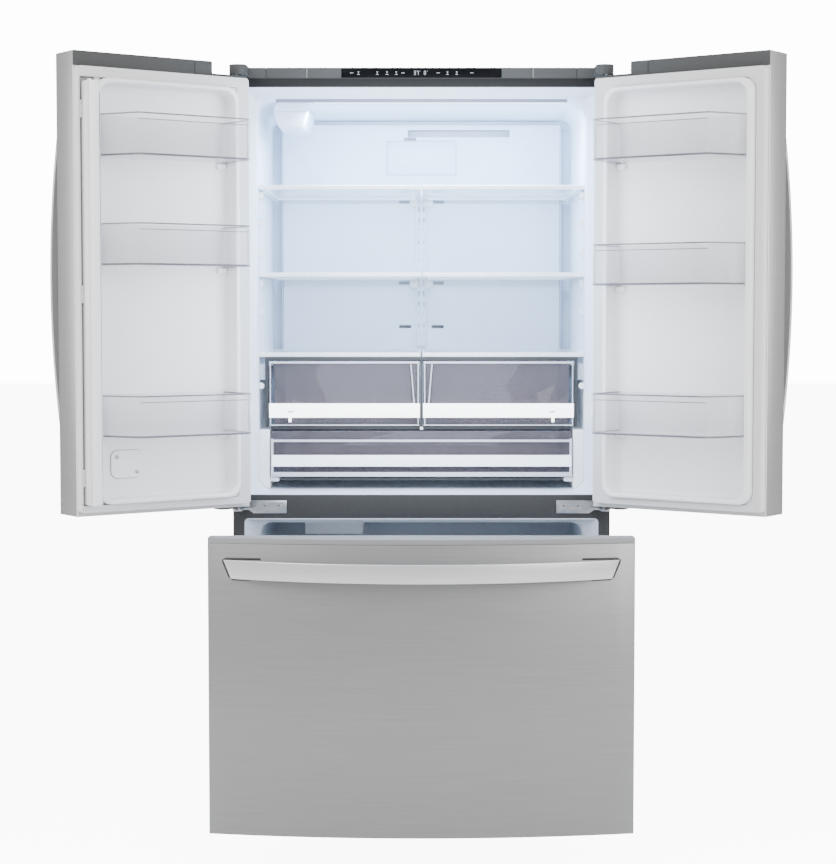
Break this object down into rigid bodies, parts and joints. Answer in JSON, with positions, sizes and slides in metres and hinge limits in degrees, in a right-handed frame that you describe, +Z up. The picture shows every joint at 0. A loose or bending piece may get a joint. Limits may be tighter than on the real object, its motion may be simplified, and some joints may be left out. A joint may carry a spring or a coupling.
{
  "type": "french door refrigerator",
  "caption": "French door refrigerator with glass shelves, clear crispers and door bins, a folding centre flap and a full-width freezer drawer below.",
  "frame": {"origin": "centre of the footprint of the whole object in its stored pose (doors and freezer drawer open), on the floor", "axes": "+Z up, -Y towards the person who opens it, +X to that person's right"},
  "size_m": [1.7066, 1.4479, 1.772],
  "materials": {
    "case_paint": "satin",
    "galvanised_sheet": "matte",
    "black_sheet": "matte",
    "insulation_foam": "matte",
    "liner_plastic": "satin",
    "door_liner_plastic": "satin",
    "trim_plastic": "satin",
    "light_lens": "satin",
    "cap_plastic": "satin",
    "drawer_cap_plastic": "satin",
    "display_gloss": "gloss",
    "hinge_steel": "satin",
    "stainless_skin": "satin",
    "handle_steel": "satin",
    "flap_steel": "satin",
    "gasket_rubber": "matte",
    "clear_plastic": "gloss",
    "basket_plastic": "satin",
    "shelf_glass": "gloss",
    "grille_plastic": "satin",
    "foot_plastic": "matte",
    "fan_plastic": "satin",
    "fin_aluminium": "satin",
    "valve_plastic": "satin"
  },
  "bodies": {
    "cabinet": {"outer_case": "case_paint", "rear_panel": "galvanised_sheet", "base_tray": "galvanised_sheet", "cabinet_foam": "insulation_foam", "fridge_liner": "liner_plastic", "freezer_liner": "liner_plastic", "front_frame": "case_paint", "top_cover": "cap_plastic", "display_panel": "display_gloss", "hinge_covers": "cap_plastic", "upper_hinges": "hinge_steel", "lower_hinges": "hinge_steel", "duct_panel": "liner_plastic", "shelf_supports": "liner_plastic", "shelf_frames": "trim_plastic", "shelf_glass": "shelf_glass", "crisper_rails": "liner_plastic", "pantry_rails": "trim_plastic", "filter_housing": "liner_plastic", "ceiling_light": "light_lens", "freezer_rails": "hinge_steel", "kick_grille": "grille_plastic", "levelling_feet": "foot_plastic", "compressor": "black_sheet", "evaporator": "fin_aluminium", "drain_pan": "grille_plastic", "rear_cover": "black_sheet", "ice_maker": "liner_plastic", "water_valve": "valve_plastic"},
    "rollers": {"rear_rollers": "foot_plastic"},
    "condenser_fan": {"condenser_fan": "grille_plastic"},
    "evaporator_fan": {"evaporator_fan": "fan_plastic"},
    "door_left": {"door_left_skin": "stainless_skin", "door_left_liner": "door_liner_plastic", "door_left_caps": "cap_plastic", "door_left_gasket": "gasket_rubber", "door_left_handle": "handle_steel", "door_left_bins": "clear_plastic"},
    "door_right": {"door_right_skin": "stainless_skin", "door_right_liner": "door_liner_plastic", "door_right_caps": "cap_plastic", "door_right_gasket": "gasket_rubber", "door_right_handle": "handle_steel", "door_right_bins": "clear_plastic"},
    "centre_flap": {"flap_housing": "trim_plastic", "flap_plate": "flap_steel"},
    "drawer": {"drawer_skin": "stainless_skin", "drawer_liner": "door_liner_plastic", "drawer_cap": "drawer_cap_plastic", "drawer_gasket": "gasket_rubber", "drawer_handle": "handle_steel", "freezer_basket": "basket_plastic", "drawer_slides": "hinge_steel"},
    "mid_slides": {"drawer_mid_slides": "hinge_steel"},
    "freezer_tray": {"freezer_tray": "liner_plastic"},
    "crisper_left": {"crisper_left": "clear_plastic"},
    "crisper_right": {"crisper_right": "clear_plastic"},
    "humidity_slide_left": {"humidity_slide_left": "trim_plastic"},
    "humidity_slide_right": {"humidity_slide_right": "trim_plastic"},
    "pantry_drawer": {"pantry_drawer": "clear_plastic"}
  },
  "joints": [
    {"name": "door_left_hinge", "type": "hinge", "parent": "cabinet", "child": "door_left", "pos_m": [-0.438, -0.076, 1.2], "axis": [0, 0, -1], "range_deg": [-144, 0]},
    {"name": "door_right_hinge", "type": "hinge", "parent": "cabinet", "child": "door_right", "pos_m": [0.438, -0.076, 1.2], "axis": [0, 0, 1], "range_deg": [-144, 0]},
    {"name": "flap_hinge", "type": "hinge", "parent": "door_left", "child": "centre_flap", "pos_m": [-0.75582, -0.36501, 1.2], "axis": [0, 0, 1], "range_deg": [-90, 0]},
    {"name": "drawer_slide", "type": "slide", "parent": "cabinet", "child": "drawer", "axis": [0, -1, 0], "range_m": [-0.525, 0]},
    {"name": "mid_slide", "type": "slide", "parent": "cabinet", "child": "mid_slides", "axis": [0, -1, 0], "range_m": [-0.2625, 0]},
    {"name": "tray_slide", "type": "slide", "parent": "cabinet", "child": "freezer_tray", "axis": [0, -1, 0], "range_m": [0, 0.25]},
    {"name": "crisper_left_slide", "type": "slide", "parent": "cabinet", "child": "crisper_left", "axis": [0, -1, 0], "range_m": [0, 0.3]},
    {"name": "crisper_right_slide", "type": "slide", "parent": "cabinet", "child": "crisper_right", "axis": [0, -1, 0], "range_m": [0, 0.3]},
    {"name": "humidity_left", "type": "slide", "parent": "crisper_left", "child": "humidity_slide_left", "axis": [-1, 0, 0], "range_m": [-0.029, 0.025]},
    {"name": "humidity_right", "type": "slide", "parent": "crisper_right", "child": "humidity_slide_right", "axis": [1, 0, 0], "range_m": [-0.029, 0.025]},
    {"name": "pantry_slide", "type": "slide", "parent": "cabinet", "child": "pantry_drawer", "axis": [0, -1, 0], "range_m": [0, 0.3]},
    {"name": "roller_spin", "type": "hinge", "parent": "cabinet", "child": "rollers", "pos_m": [0, 0.674, 0.024], "axis": [1, 0, 0], "continuous": true},
    {"name": "condenser_fan_spin", "type": "hinge", "parent": "cabinet", "child": "condenser_fan", "pos_m": [0.032, 0.59, 0.165], "axis": [1, 0, 0], "continuous": true},
    {"name": "evaporator_fan_spin", "type": "hinge", "parent": "cabinet", "child": "evaporator_fan", "pos_m": [0, 0.546, 0.605], "axis": [0, 1, 0], "continuous": true}
  ],
  "couplings": [
    {"joint": "mid_slide", "follows": "drawer_slide", "ratio": 0.5}
  ]
}
